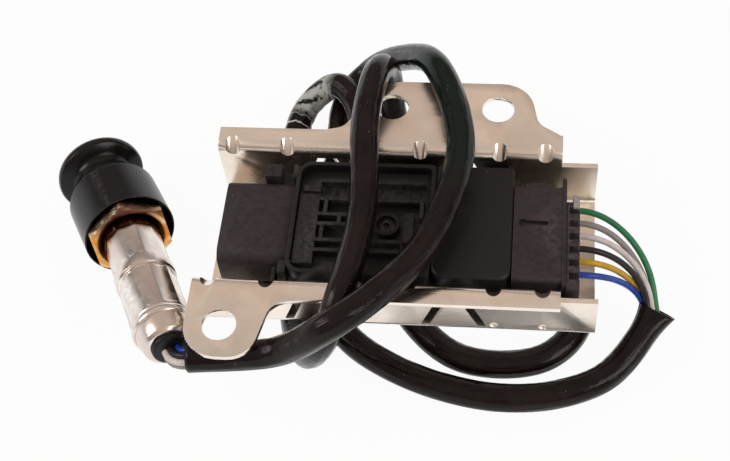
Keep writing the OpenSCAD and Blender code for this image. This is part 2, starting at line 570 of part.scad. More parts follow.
module lead_white() lead(2, [0.88, 0.85, 0.84]);
module lead_black() lead(3, [0.16, 0.14, 0.15]);
module lead_yellow() lead(4, [0.78, 0.65, 0.2]);
module lead_blue() lead(5, [0.2, 0.28, 0.6]);

mounting_bracket();
module_housing();
circuit_board();
module_lid();
smooth_cover();
centre_screw();
connector_shroud();
terminal_pins();
plug_housing();
plug_collar();
plug_rear_cover();
plug_latch();
plug_lock();
protective_cap();
sleeve_nut();
seal_ring();
perforated_tube();
inner_tube();
sensing_element();
probe_body();
crimp_ring();
rear_grommet();
harness_sleeve();
lead_green();
lead_grey();
lead_white();
lead_black();
lead_yellow();
lead_blue();
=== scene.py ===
# Nitrogen oxide sensor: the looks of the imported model, in metres, on a plain pale floor.
import json
import math
from bisect import bisect_left

import bmesh
import bpy
from mathutils import Matrix, Vector, noise


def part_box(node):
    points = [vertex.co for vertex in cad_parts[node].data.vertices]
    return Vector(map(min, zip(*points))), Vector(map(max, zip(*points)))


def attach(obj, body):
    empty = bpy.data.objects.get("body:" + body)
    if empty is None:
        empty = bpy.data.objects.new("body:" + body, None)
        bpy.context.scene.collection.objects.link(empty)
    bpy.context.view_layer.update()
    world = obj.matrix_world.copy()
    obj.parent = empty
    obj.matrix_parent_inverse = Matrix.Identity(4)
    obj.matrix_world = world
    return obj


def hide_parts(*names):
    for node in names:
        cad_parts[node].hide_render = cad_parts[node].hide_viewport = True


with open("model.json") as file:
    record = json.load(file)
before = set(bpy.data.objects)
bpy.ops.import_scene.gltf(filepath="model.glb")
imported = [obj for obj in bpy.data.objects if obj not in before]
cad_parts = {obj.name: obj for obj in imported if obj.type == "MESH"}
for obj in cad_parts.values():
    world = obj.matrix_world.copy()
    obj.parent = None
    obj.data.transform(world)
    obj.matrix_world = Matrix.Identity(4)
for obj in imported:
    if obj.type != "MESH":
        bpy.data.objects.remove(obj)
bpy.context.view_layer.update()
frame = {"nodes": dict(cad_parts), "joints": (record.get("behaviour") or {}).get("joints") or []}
MM = 0.001
UP = Vector((0, 0, 1))

# Places in the frame: the bracket's left end, and the probe's axis through the nut's rear face
BRACKET_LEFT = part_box("mounting_bracket")[0].x / MM
NUT_JOINT = frame["joints"][0]
NUT_FACE = Vector(NUT_JOINT["pos_m"]) / MM
PROBE_DIR = Vector(NUT_JOINT["axis"]).normalized()

# Camera, at the photograph's own place over the bracket
CAMERA_FROM_BRACKET = Vector((88.057, -217.585, 350.506))
CAMERA_AXES = ((0.99296, 0.09212, -0.07442), (-0.03407, 0.82406, 0.56548), (0.11342, -0.55896, 0.8214))
camera_data = bpy.data.cameras.new("camera")
camera_data.lens = 68.81
camera_data.sensor_width = 36
camera_data.clip_start = 0.01
camera = bpy.data.objects.new("camera", camera_data)
camera_place = (CAMERA_FROM_BRACKET + Vector((BRACKET_LEFT, 0, 0))) * MM
camera.matrix_world = Matrix.Translation(camera_place) @ Matrix(CAMERA_AXES).transposed().to_4x4()
bpy.context.collection.objects.link(camera)
bpy.context.scene.camera = camera

# Cable route, as the part's source has it, in millimetres from its zero along the bracket
ROUTE_ZERO = 28.85
HARNESS_POINTS = [
    (-28, -43.5, 32), (-4.5, -41.5, 34), (11.5, -41, 48.5), (22, -31.5, 48.5), (34, -12, 45), (41, 19.5, 45),
    (32.5, 49, 44), (20.5, 67.5, 27), (8, 77.5, 8.5), (1, 70, 4.5), (1, 48, 4.5), (14, 18, 4.2),
    (27.5, -11.5, 4.2), (43, -24.5, 4.2), (65, -23.5, 4.2), (75, -12, 4.2), (71, 5, 4.5), (50, 23, 4.2),
    (26.5, 36.5, 6), (18.5, 52.5, 15.5), (17, 57.5, 30), (15.5, 48.5, 43), (14, 28, 47), (15.5, -4, 43.5),
    (12, -31, 44), (8, -36.5, 34), (0.5, -31.5, 15.5), (-6, -15.5, 5), (-11, 13.5, 4.5), (-14.5, 45, 4.2),
    (-11, 64, 6.5), (-1.5, 67.5, 13), (6, 58.5, 13.5), (8, 33, 13), (7, 3, 9.5), (6.5, -14.5, 4.2),
    (24.5, -29, 4.5), (56, -36.5, 4.5), (82, -29, 4.2), (97, -9.5, 10)]
HARNESS_D = 8.2
HARNESS_LOW = 4.15
MOUTH_DIR = Vector((0.4, 0.7, 0.6)).normalized()
LEAD_D = 1.8
LEAD_PITCH = 4.26
REAR_COVER_END = (103.0, 0.35, 28.0)
GROMMET_FACE_T = 47.5
# Places of the six leads across their bundle, at the sleeve's mouth and at the probe
BUNDLE = [(2.6, 0.1), (1.5, -1.6), (0.6, 0.5), (-1.3, 0.7), (-0.7, -1.6), (-2.6, -0.9)]
PROBE_BUNDLE = [(0.2, -1.0), (-1.6, -1.6), (-1.6, 0.3), (0.1, 0.85), (2.0, -1.7), (2.0, 0.4)]
# The fan goes into the left half of the mouth, squeezed and at a slant
MOUTH_SQUEEZE = 0.62
MOUTH_SHIFT = 2.3
MOUTH_SLANT = 0.7
# Straight reach of the leads' curves at the cover, the mouth and the probe, and how deep their ends go in
LEAD_REACH = 12
MOUTH_REACH = 8
PROBE_REACH = 2.5
HIDDEN_END = 2.5
MOUTH_DEPTH = 5.5
INLET_DEPTH = 4
LEAD_NODES = ["lead_green", "lead_grey", "lead_white", "lead_black", "lead_yellow", "lead_blue"]
MIDDLE_LEAD = (len(LEAD_NODES) - 1) / 2
# Share of a lead's radius at its tips, and how finely the sleeve, the leads and their curves are cut
TIP_SHARE = 0.3
SLEEVE_SIDES = 40
LEAD_SIDES = 14
FAN_STEPS = 40
BUNDLE_STEPS = 16

# Tolerances for cleaning meshes
SEAM_WELD = 1e-8
CAD_WELD = 0.002 * MM
POLE_WELD = 1e-5
FLAT_WITHIN = math.radians(0.5)


# Helpers for meshes
def add_object(name, mesh):
    obj = bpy.data.objects.new(name, mesh)
    bpy.context.collection.objects.link(obj)
    return obj


def left_of(direction):
    return UP.cross(direction).normalized()


def smooth_route(points, end_direction, steps=8):
    """Curve through the points, with even speed, that ends along end_direction."""
    p = [Vector(q) for q in points]
    reach = (p[-1] - p[-2]).length
    p = [2 * p[0] - p[1]] + p + [p[-1] + end_direction * reach]
    out = []
    for a, b, c, d in zip(p, p[1:], p[2:], p[3:]):
        t1 = (b - a).length ** 0.5
        t2 = t1 + (c - b).length ** 0.5
        t3 = t2 + (d - c).length ** 0.5
        for k in range(steps):
            t = t1 + (t2 - t1) * k / steps
            ab = a.lerp(b, t / t1)
            bc = b.lerp(c, (t - t1) / (t2 - t1))
            cd = c.lerp(d, (t - t2) / (t3 - t2))
            abc = ab.lerp(bc, t / t2)
            bcd = bc.lerp(cd, (t - t1) / (t3 - t1))
            out.append(abc.lerp(bcd, (t - t1) / (t2 - t1)))
    out.append(p[-2])
    return out


def headings(points, first, last):
    """Direction of the path at each of its points."""
    inner = [((c - b).normalized() + (b - a).normalized()).normalized()
             for a, b, c in zip(points, points[1:], points[2:])]
    return [first] + inner + [last]


def carried_sides(directions):
    """Side vectors along a path that turn as little as they can."""
    side = left_of(directions[0])
    sides = []
    for direction in directions:
        side = (side - direction * side.dot(direction)).normalized()
        sides.append(side)
    return sides


def lengths_along(points):
    """Length from the start of the path to each of its points."""
    out = [0.0]
    for a, b in zip(points, points[1:]):
        out.append(out[-1] + (b - a).length)
    return out


def swept_grid(name, rows, sides, place):
    """Tube from a flat grid with a UV map: place(row, angle) gives each point, and the seam is welded."""
    bm = bmesh.new()
    bm.loops.layers.uv.new("along")
    bmesh.ops.create_grid(bm, x_segments=rows - 1, y_segments=sides, size=1, calc_uvs=True)
    for vertex in bm.verts:
        row = round((vertex.co.x + 1) / 2 * (rows - 1))
        turn = round((vertex.co.y + 1) / 2 * sides) % sides
        vertex.co = place(row, 2 * math.pi * turn / sides)
    bmesh.ops.remove_doubles(bm, verts=bm.verts, dist=SEAM_WELD)
    bmesh.ops.recalc_face_normals(bm, faces=bm.faces)
    mesh = bpy.data.meshes.new(name)
    bm.to_mesh(mesh)
    bm.free()
    mesh.shade_smooth()
    return mesh


def round_edges(piece, width, segments, angle):
    """Rounds the edges that are sharper than the angle, in degrees, by a width in millimetres."""
    rounding = piece.modifiers.new("round edges", "BEVEL")
    rounding.width = width * MM
    rounding.segments = segments
    rounding.limit_method = "ANGLE"
    rounding.angle_limit = math.radians(angle)
    rounding.harden_normals = True


def refined(node, material, width=0.2, segments=2, angle=28, body="sensor"):
    """Copy of a CAD node in its place, with its triangles merged and its edges finely rounded."""
    bm = bmesh.new()
    bm.from_mesh(frame["nodes"][node].data)
    bmesh.ops.remove_doubles(bm, verts=bm.verts, dist=CAD_WELD)
    bmesh.ops.dissolve_limit(bm, angle_limit=FLAT_WITHIN, verts=bm.verts, edges=bm.edges)
    mesh = bpy.data.meshes.new(node + "_finish")
    bm.to_mesh(mesh)
    bm.free()
    mesh.shade_smooth()
    mesh.materials.clear()
    mesh.materials.append(material)
    piece = add_object(node + "_finish", mesh)
    round_edges(piece, width, segments, angle)
    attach(piece, body)
    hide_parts(node)
    return piece


# Route of the sleeve's middle, in millimetres
route = smooth_route(HARNESS_POINTS, MOUTH_DIR, 12)
for q in route:
    q.x += BRACKET_LEFT + ROUTE_ZERO
    q.z = max(q.z, HARNESS_LOW)
INLET_DIR = (route[1] - route[0]).normalized()
route_dirs = headings(route, INLET_DIR, MOUTH_DIR)
route_sides = carried_sides(route_dirs)
route_at = lengths_along(route)
SLEEVE_L = route_at[-1]
# Stretches along the sleeve: greenish at the great arch, crushed at the small one, where it is first
# creased across, with painted pale highlight rings, and then given a painted silver sheen
GREENISH = (108, 165)
CRUSHED = (672, 706)
RING_HIGHLIGHT_STRETCH = (676, 690)
SHEEN_STRETCH = (691, 707)
RING_PITCH = 3.4
RING_WANDER = 5.0
# Skin of the sleeve: row pitch, thickness, depth of the inner wall that is modelled, and the heights of its
# lumps, lengthwise folds, creases in the bends and crumples
ROW_PITCH = 1.05
SKIN = 0.5
INNER_DEPTH = 12
INNER_ROWS = 6
SKIN_SHRINK = 0.08
LUMPS, FOLDS, CREASES, CRUMPLES = 0.17, 0.2, 0.04, 0.38
# How fine they are, round the sleeve and per millimetre along it, where each pattern starts, and how narrow
# the folds are and how soon a bend creases
LUMP_FINENESS, LUMP_START = (1.5, 0.016), (0, 0)
FOLD_FINENESS, FOLD_START = (3.2, 0.045), (7, 3)
CRUMPLE_FINENESS, CRUMPLE_START = (2.2, 0.5), (0, 5)
CREASE_FINENESS, CREASE_WANDER = 1.9, 2
FOLD_NARROWNESS = 5
BEND_SHARPNESS = 22
# Flared mouth: its length, and how much wider and flatter it gets
FLARE_L = 9
FLARE_WIDER = 0.38
FLARE_FLATTER = 0.3
LEAST_HEIGHT = 0.05


# Helpers for materials
def add_node(tree, kind, inputs=None, **values):
    made = tree.nodes.new(kind)
    for key, value in values.items():
        setattr(made, key, value)
    for key, value in (inputs or {}).items():
        if isinstance(value, bpy.types.NodeSocket):
            tree.links.new(value, made.inputs[key])
        else:
            made.inputs[key].default_value = value
    return made


def remap(tree, value, start, end, low=0.0, high=1.0, **values):
    """Value taken from the span start to end onto low to high, and held at both ends."""
    made = add_node(tree, "ShaderNodeMapRange", {
        "Value": value, "From Min": start, "From Max": end, "To Min": low, "To Max": high}, **values)
    return made.outputs["Result"]


def arithmetic(tree, operation, *terms):
    """Result of one operation on numbers or sockets."""
    return add_node(tree, "ShaderNodeMath", dict(enumerate(terms)), operation=operation).outputs[0]


def shader_group(name, inputs, outputs):
    """Empty node group with its input and output sockets."""
    tree = bpy.data.node_groups.new(name, "ShaderNodeTree")
    for label, kind, value in inputs:
        socket = tree.interface.new_socket(label, in_out="INPUT", socket_type=kind)
        if value is not None:
            socket.default_value = value
    for label in outputs:
        tree.interface.new_socket(label, in_out="OUTPUT", socket_type="NodeSocketFloat")
    return tree, tree.nodes.new("NodeGroupInput").outputs, tree.nodes.new("NodeGroupOutput").inputs


def grain_group():
    """Fine moulded or rolled grain: a height, stretched along one direction where Stretch says so."""
    tree, given, out = shader_group(
        "fine grain", [("Vector", "NodeSocketVector", None), ("Stretch", "NodeSocketVector", (1, 1, 1)),
                       ("Scale", "NodeSocketFloat", 2000)], ["Height"])
    stretched = add_node(tree, "ShaderNodeVectorMath", {0: given["Vector"], 1: given["Stretch"]},
                         operation="MULTIPLY")
    grain = add_node(tree, "ShaderNodeTexNoise", {
        "Vector": stretched.outputs[0], "Scale": given["Scale"], "Detail": 3.0, "Roughness": 0.6})
    tree.links.new(grain.outputs["Fac"], out["Height"])
    return tree


# Parts of a noise's range over which clouds and rubbed edges go from none to full
CLOUD_SPAN = (0.35, 0.65)
BREAK_SPAN = (0.3, 0.6)


def smudge_group():
    """Broad uneven gloss: a value between Low and High, and a mask of the same clouds."""
    tree, given, out = shader_group(
        "smudge", [("Vector", "NodeSocketVector", None), ("Scale", "NodeSocketFloat", 60),
                   ("Low", "NodeSocketFloat", 0.3), ("High", "NodeSocketFloat", 0.5)], ["Value", "Mask"])
    cloud = add_node(tree, "ShaderNodeTexNoise", {
        "Vector": given["Vector"], "Scale": given["Scale"], "Detail": 4.0, "Distortion": 0.6}).outputs["Fac"]
    value = remap(tree, cloud, *CLOUD_SPAN, given["Low"], given["High"], interpolation_type="SMOOTHSTEP")
    mask = remap(tree, cloud, *CLOUD_SPAN, interpolation_type="SMOOTHSTEP")
    tree.links.new(value, out["Value"])
    tree.links.new(mask, out["Mask"])
    return tree


def edge_wear_group():
    """Rubbed outer edges: a mask that follows sharp convex edges and breaks up with noise."""
    tree, given, out = shader_group(
        "edge wear", [("Vector", "NodeSocketVector", None), ("Scale", "NodeSocketFloat", 500),
                      ("Start", "NodeSocketFloat", 0.52), ("End", "NodeSocketFloat", 0.6)], ["Mask"])
    pointed = add_node(tree, "ShaderNodeNewGeometry").outputs["Pointiness"]
    edge = remap(tree, pointed, given["Start"], given["End"])
    breaks = add_node(tree, "ShaderNodeTexNoise", {
        "Vector": given["Vector"], "Scale": given["Scale"], "Detail": 2.0}).outputs["Fac"]
    spread = remap(tree, breaks, *BREAK_SPAN)
    tree.links.new(arithmetic(tree, "MULTIPLY", edge, spread), out["Mask"])
    return tree


def dust_group():
    """Scattered specks of dust: a Share of the cells holds a dot of Size, the rest none."""
    tree, given, out = shader_group(
        "dust", [("Vector", "NodeSocketVector", None), ("Scale", "NodeSocketFloat", 500),
                 ("Share", "NodeSocketFloat", 0.05), ("Size", "NodeSocketFloat", 0.15)], ["Mask"])
    cells = add_node(tree, "ShaderNodeTexVoronoi", {"Vector": given["Vector"], "Scale": given["Scale"]})
    dot = arithmetic(tree, "LESS_THAN", cells.outputs["Distance"], given["Size"])
    pick = add_node(tree, "ShaderNodeSeparateColor", {"Color": cells.outputs["Color"]}).outputs[0]
    chosen = arithmetic(tree, "LESS_THAN", pick, given["Share"])
    tree.links.new(arithmetic(tree, "MULTIPLY", dot, chosen), out["Mask"])
    return tree


GRAIN = grain_group()
SMUDGE = smudge_group()
EDGE_WEAR = edge_wear_group()
DUST = dust_group()


class Finish:
    """One material under construction: its tree, its shader and the coordinates that its patterns read."""

    def __init__(self, name, coordinates="Object", **settings):
        self.material = bpy.data.materials.new(name)
        self.material.use_nodes = True
        self.tree = self.material.node_tree
        self.shader = self.tree.nodes["Principled BSDF"]
        for key, value in settings.items():
            self.shader.inputs[key.replace("_", " ")].default_value = value
        if coordinates == "UV":
            self.place = add_node(self.tree, "ShaderNodeUVMap", uv_map="along").outputs["UV"]
        else:
            self.place = add_node(self.tree, "ShaderNodeTexCoord").outputs[coordinates]

    def add(self, kind, inputs=None, **values):
        return add_node(self.tree, kind, inputs, **values)

    def remap(self, value, span, low=0.0, high=1.0):
        return remap(self.tree, value, *span, low, high)

    def arithmetic(self, operation, *terms):
        return arithmetic(self.tree, operation, *terms)

    def group(self, tree, **inputs):
        named = {key.replace("_", " "): value for key, value in inputs.items()}
        named.setdefault("Vector", self.place)
        return self.add("ShaderNodeGroup", named, node_tree=tree)

    def mix(self, factor, first, second):
        made = self.add("ShaderNodeMix", data_type="RGBA")
        for socket, value in zip((made.inputs[0], made.inputs[6], made.inputs[7]), (factor, first, second)):
            if isinstance(value, bpy.types.NodeSocket):
                self.tree.links.new(value, socket)
            else:
                socket.default_value = value if isinstance(value, (int, float)) else (*value, 1)
        return made.outputs[2]

    def set(self, name, value):
        self.tree.links.new(value, self.shader.inputs[name])

    def two_tone(self, gloss, colour, shade):
        """Colour and roughness that follow one smudge pattern, whose second tone is the first times shade."""
        self.set("Base Color", self.mix(gloss.outputs["Mask"], colour, [c * shade for c in colour]))
        self.set("Roughness", gloss.outputs["Value"])

    def bump(self, height, depth, normal=None):
        made = self.add("ShaderNodeBump", {"Height": height, "Distance": depth * MM, "Strength": 1.0})
        if normal is not None:
            self.tree.links.new(normal, made.inputs["Normal"])
        return made.outputs["Normal"]


DUST_TONE = (0.16, 0.14, 0.13)
CLOUD_LIFT = 1.35
# Gate mark: the radii between which its edge falls off, and its depth in millimetres
GATE_EDGE = (1.9 * MM, 2.2 * MM)
GATE_DEPTH = 0.12


def moulded_plastic(name, colour, rubbed, low, high, grain_depth=0.02, shine=0.3, gate=None):
    """Black moulded plastic: fine grain, uneven gloss, lighter rubbed edges and a few specks of dust."""
    made = Finish(name, Specular_IOR_Level=shine)
    gloss = made.group(SMUDGE, Scale=70.0, Low=low, High=high)
    wear = made.group(EDGE_WEAR, Scale=700.0, Start=0.515, End=0.62)
    dust = made.group(DUST, Scale=420.0, Share=0.035, Size=0.09)
    tone = made.mix(gloss.outputs["Mask"], colour, [c * CLOUD_LIFT for c in colour])
    worn = made.mix(wear.outputs["Mask"], tone, rubbed)
    made.set("Base Color", made.mix(dust.outputs["Mask"], worn, DUST_TONE))
    made.set("Roughness", gloss.outputs["Value"])
    grain = made.group(GRAIN, Scale=3800.0)
    surface = made.bump(grain.outputs["Height"], grain_depth)
    if gate:
        away = made.add("ShaderNodeVectorMath", {0: made.place, 1: gate * MM}, operation="DISTANCE")
        disc = made.remap(away.outputs["Value"], GATE_EDGE, 1.0, 0.0)
        surface = made.bump(disc, GATE_DEPTH, normal=surface)
    made.set("Normal", surface)
    return made.material


def bracket_steel():
    """Rolled stainless sheet: warm satin, fine lines along the roll, soft stains and bright cut edges."""
    made = Finish("satin rolled stainless sheet", Metallic=1.0)
    gloss = made.group(SMUDGE, Scale=28.0, Low=0.2, High=0.32)
    stain = made.group(SMUDGE, Scale=90.0, Low=0.0, High=1.0)
    wear = made.group(EDGE_WEAR, Scale=300.0, Start=0.52, End=0.6)
    tone = made.mix(gloss.outputs["Mask"], (0.97, 0.88, 0.785), (0.92, 0.83, 0.735))
    soiled = made.mix(stain.outputs["Mask"], tone, (0.88, 0.78, 0.675))
    made.set("Base Color", made.mix(wear.outputs["Mask"], soiled, (0.97, 0.93, 0.87)))
    made.set("Roughness", gloss.outputs["Value"])
    lines = made.group(GRAIN, Stretch=(0.04, 1.0, 1.0), Scale=5200.0)
    waves = made.group(GRAIN, Scale=160.0)
    soft = made.bump(waves.outputs["Height"], 0.05)
    made.set("Normal", made.bump(lines.outputs["Height"], 0.006, normal=soft))
    return made.material


def probe_coordinates(made):
    """Coordinates turned to the probe: Z along its axis towards the rear, from the nut's rear face."""
    to_axis = PROBE_DIR.to_track_quat("Z", "Y").to_matrix().to_4x4()
    flat = (Matrix.Translation(NUT_FACE * MM) @ to_axis).inverted()
    place = made.add("ShaderNodeMapping", {"Vector": made.place, "Location": flat.to_translation(),
                                           "Rotation": flat.to_euler("XYZ")}, vector_type="POINT")
    return place.outputs[0]


# Along the probe from the nut's rear face: where the burnt ring ends, and where the cap shades the nut
BURNT_END = (2.6 * MM, 3.6 * MM)
CAP_SHADE = (-3.2 * MM, -1.4 * MM)
# Across it: the dark bore's edge by its radius, and the height over the axis above which the nut turns darker
# towards its top
BORE_EDGE = (9.4 * MM, 10.6 * MM)
DARK_TOP = (4.5 * MM, 8.5 * MM)


def probe_steel():
    """Bright drawn stainless: fine scratches, heat-tinted patches, bright rubbed edges and a burnt ring."""
    made = Finish("bright drawn stainless", Metallic=1.0)
    gloss = made.group(SMUDGE, Scale=130.0, Low=0.13, High=0.27)
    tint = made.group(SMUDGE, Scale=45.0, Low=0.0, High=1.0)
    wear = made.group(EDGE_WEAR, Scale=600.0, Start=0.51, End=0.56)
    tone = made.mix(tint.outputs["Mask"], (0.88, 0.8, 0.74), (0.74, 0.65, 0.59))
    bright = made.mix(wear.outputs["Mask"], tone, (0.95, 0.92, 0.88))
    along = made.add("ShaderNodeSeparateXYZ", {"Vector": probe_coordinates(made)}).outputs["Z"]
    burnt = made.remap(along, BURNT_END, 1.0, 0.0)
    made.set("Base Color", made.mix(burnt, bright, (0.085, 0.035, 0.022)))
    made.set("Roughness", gloss.outputs["Value"])
    scratches = made.group(GRAIN, Stretch=(1.0, 0.2, 1.0), Scale=2600.0)
    made.set("Normal", made.bump(scratches.outputs["Height"], 0.01))
    return made.material


def nut_metal():
    """Steel nut under orange-brown anti-seize paste: dark on top, round the bore and inside the cap."""
    made = Finish("steel under anti-seize paste", Metallic=0.85)
    parts = made.add("ShaderNodeSeparateXYZ", {"Vector": probe_coordinates(made)})
    flat = made.add("ShaderNodeCombineXYZ", {"X": parts.outputs["X"], "Y": parts.outputs["Y"]})
    radius = made.add("ShaderNodeVectorMath", {0: flat.outputs[0]}, operation="LENGTH")
    bore = made.remap(radius.outputs["Value"], BORE_EDGE, 1.0, 0.0)
    paste = made.group(SMUDGE, Scale=260.0, Low=0.22, High=0.5)
    wear = made.group(EDGE_WEAR, Scale=500.0, Start=0.51, End=0.57)
    amber = made.mix(paste.outputs["Mask"], (0.9, 0.62, 0.36), (0.88, 0.36, 0.04))
    # Darker towards the top of the nut
    tone = made.mix(made.remap(parts.outputs["Y"], DARK_TOP), amber, (0.2, 0.095, 0.06))
    burnt = made.mix(paste.outputs["Mask"], (0.1, 0.04, 0.02), (0.34, 0.12, 0.03))
    dark = made.mix(bore, tone, burnt)
    wiped = made.mix(wear.outputs["Mask"], dark, (0.95, 0.72, 0.5))
    inside = made.remap(parts.outputs["Z"], CAP_SHADE, 1.0, 0.0)
    made.set("Base Color", made.mix(inside, wiped, (0.03, 0.016, 0.012)))
    made.set("Roughness", paste.outputs["Value"])
    lumps = made.group(GRAIN, Scale=900.0)
    made.set("Normal", made.bump(lumps.outputs["Height"], 0.06))
    return made.material


# Soft ends of a stretch, as shares of its half length, and the parts of the patterns that paint a silver
# sheen and pale highlight rings on it
STRETCH_ENDS = (0.75, 1.15)
SHEEN_SPAN = (0.38, 0.47)
RING_SPAN = (0.8, 0.97)


def stretch_mask(made, along, stretch):
    """Mask of one stretch of the sleeve, given in millimetres, soft at both ends."""
    middle, half = sum(stretch) / 2, (stretch[1] - stretch[0]) / 2
    place = made.arithmetic("MULTIPLY", along, SLEEVE_L)
    away = made.arithmetic("ABSOLUTE", made.arithmetic("SUBTRACT", place, middle))
    return made.remap(away, [half * share for share in STRETCH_ENDS], 1.0, 0.0)


def sleeve_plastic():
    """Glossy brown-black sleeve: drawn lines, creases and dust, with a green stretch, and stretches with
    painted highlight rings and a painted silver sheen.
    """
    made = Finish("glossy wrinkled sleeve", coordinates="UV", Specular_IOR_Level=0.2)
    drawn_out = made.add("ShaderNodeMapping", {"Vector": made.place, "Scale": (35.0, 9.0, 1.0)}).outputs[0]
    even = made.add("ShaderNodeMapping", {"Vector": made.place, "Scale": (35.0, 1.0, 1.0)}).outputs[0]
    gloss = made.group(SMUDGE, Vector=even, Scale=3.0, Low=0.08, High=0.2)
    lines = made.group(GRAIN, Vector=drawn_out, Scale=1.6)
    creases = made.add("ShaderNodeTexNoise", {
        "Vector": even, "Scale": 9.0, "Detail": 5.0, "Roughness": 0.55, "Distortion": 0.8})
    dust = made.group(DUST, Vector=even, Scale=22.0, Share=0.06, Size=0.1)
    along = made.add("ShaderNodeSeparateXYZ", {"Vector": made.place}).outputs["X"]
    tone = made.mix(gloss.outputs["Mask"], (0.008, 0.0048, 0.0048), (0.014, 0.0085, 0.008))
    tone = made.mix(stretch_mask(made, along, GREENISH), tone, (0.005, 0.011, 0.008))
    streaks = made.add("ShaderNodeTexNoise", {
        "Vector": even, "Scale": 3.2, "Detail": 2.0, "Distortion": 1.6}).outputs["Fac"]
    # Painted silver sheen: pale streaks on the crushed stretch stand in for the grey highlights on its
    # crinkles
    pale = made.remap(streaks, SHEEN_SPAN)
    painted_sheen = made.arithmetic("MULTIPLY", stretch_mask(made, along, SHEEN_STRETCH), pale)
    tone = made.mix(painted_sheen, tone, (0.5, 0.54, 0.52))
    # Painted highlight rings: pale rings across the crushed stretch stand in for the white highlights on its
    # creases
    wander = made.arithmetic("MULTIPLY", streaks, RING_WANDER)
    turns = made.arithmetic("MULTIPLY_ADD", along, SLEEVE_L * 2 * math.pi / RING_PITCH, wander)
    ring = made.remap(made.arithmetic("SINE", turns), RING_SPAN)
    ring_highlights = made.arithmetic("MULTIPLY", stretch_mask(made, along, RING_HIGHLIGHT_STRETCH), ring)
    tone = made.mix(ring_highlights, tone, (0.62, 0.65, 0.63))
    made.set("Base Color", made.mix(dust.outputs["Mask"], tone, (0.3, 0.27, 0.25)))
    made.set("Roughness", gloss.outputs["Value"])
    drawn = made.bump(lines.outputs["Height"], 0.2)
    made.set("Normal", made.bump(creases.outputs["Fac"], 0.12, normal=drawn))
    return made.material


def lead_insulation(name, colour):
    """Smooth extruded insulation with a little drawn grain and uneven gloss."""
    made = Finish(name, coordinates="UV", Specular_IOR_Level=0.4)
    even = made.add("ShaderNodeMapping", {"Vector": made.place, "Scale": (6.0, 1.0, 1.0)}).outputs[0]
    gloss = made.group(SMUDGE, Vector=even, Scale=2.0, Low=0.28, High=0.42)
    made.two_tone(gloss, colour, 0.82)
    drawn = made.group(GRAIN, Vector=even, Stretch=(0.3, 3.0, 1.0), Scale=4.0)
    made.set("Normal", made.bump(drawn.outputs["Height"], 0.02))
    return made.material


def plain_metal(name, colour, low, high):
    """Small metal piece with uneven gloss and fine grain."""
    made = Finish(name, Metallic=1.0)
    gloss = made.group(SMUDGE, Scale=200.0, Low=low, High=high)
    made.two_tone(gloss, colour, 0.75)
    grain = made.group(GRAIN, Scale=3000.0)
    made.set("Normal", made.bump(grain.outputs["Height"], 0.01))
    return made.material


def ceramic_or_board(name, colour, low, high):
    """Dull hidden piece: fine grain and two close tones."""
    made = Finish(name)
    gloss = made.group(SMUDGE, Scale=150.0, Low=low, High=high)
    made.two_tone(gloss, colour, 0.85)
    grain = made.group(GRAIN, Scale=2500.0)
    made.set("Normal", made.bump(grain.outputs["Height"], 0.02))
    return made.material


STEEL = bracket_steel()
PROBE = probe_steel()
NUT = nut_metal()
LID = moulded_plastic("satin lid plastic", (0.0105, 0.0095, 0.0098), (0.05, 0.046, 0.047), 0.42, 0.58)
COVER_GATE = Vector((BRACKET_LEFT + 74.57, 0.41, 36.6))
COVER = moulded_plastic("smooth cover plastic", (0.0115, 0.0105, 0.0105), (0.045, 0.042, 0.042), 0.4, 0.5,
                        gate=COVER_GATE)
SHROUD = moulded_plastic("grained connector plastic", (0.024, 0.0185, 0.0205), (0.07, 0.058, 0.062),
                         0.46, 0.6)
CAP = moulded_plastic("soft cap plastic", (0.006, 0.005, 0.0055), (0.035, 0.032, 0.033), 0.18, 0.26,
                      grain_depth=0.004, shine=0.25)
LOCK = moulded_plastic("grey lock plastic", (0.26, 0.245, 0.24), (0.5, 0.48, 0.47), 0.35, 0.45)
SCREW = plain_metal("dark screw steel", (0.07, 0.062, 0.062), 0.42, 0.6)
PINS = plain_metal("plated contacts", (0.75, 0.62, 0.36), 0.2, 0.35)
SEAL = plain_metal("copper seal", (0.72, 0.42, 0.24), 0.25, 0.4)
CERAMIC = ceramic_or_board("white ceramic", (0.8, 0.79, 0.74), 0.4, 0.6)
BOARD = ceramic_or_board("green board", (0.03, 0.16, 0.07), 0.35, 0.55)
GROMMET = moulded_plastic("black seal rubber", (0.007, 0.007, 0.007), (0.02, 0.02, 0.02), 0.3, 0.5)
SLEEVE = sleeve_plastic()
LEAD_COLOURS = {
    "lead_green": (0.03, 0.24, 0.09), "lead_grey": (0.36, 0.33, 0.32), "lead_white": (0.82, 0.75, 0.75),
    "lead_black": (0.02, 0.015, 0.016), "lead_yellow": (0.75, 0.44, 0.025), "lead_blue": (0.02, 0.075, 0.46)}


# Sleeve and leads
def sleeve_radius(place, angle, bend, outward):
    """Radius of the sleeve's skin, in millimetres, at a length along it and an angle round it."""
    around = Vector((math.cos(angle), math.sin(angle), 0))

    def pattern(fineness, start):
        return noise.noise(around * fineness[0] + Vector((*start, place * fineness[1])))

    lumps = pattern(LUMP_FINENESS, LUMP_START)
    fold = max(0.0, 1 - abs(pattern(FOLD_FINENESS, FOLD_START)) * FOLD_NARROWNESS) ** 2
    inside = max(0.0, -outward) * min(1.0, bend * BEND_SHARPNESS)
    wander = CREASE_WANDER * noise.noise(Vector((place * 0.2, angle, 0)))
    crease = inside * math.sin(place * CREASE_FINENESS + wander)
    crushed = max(0.0, 1 - abs(place - sum(CRUSHED) / 2) / ((CRUSHED[1] - CRUSHED[0]) / 2)) ** 0.5
    crumple = pattern(CRUMPLE_FINENESS, CRUMPLE_START) * crushed
    even = HARNESS_D / 2 - SKIN_SHRINK
    return even + LUMPS * lumps - FOLDS * fold + CREASES * crease + CRUMPLES * crumple


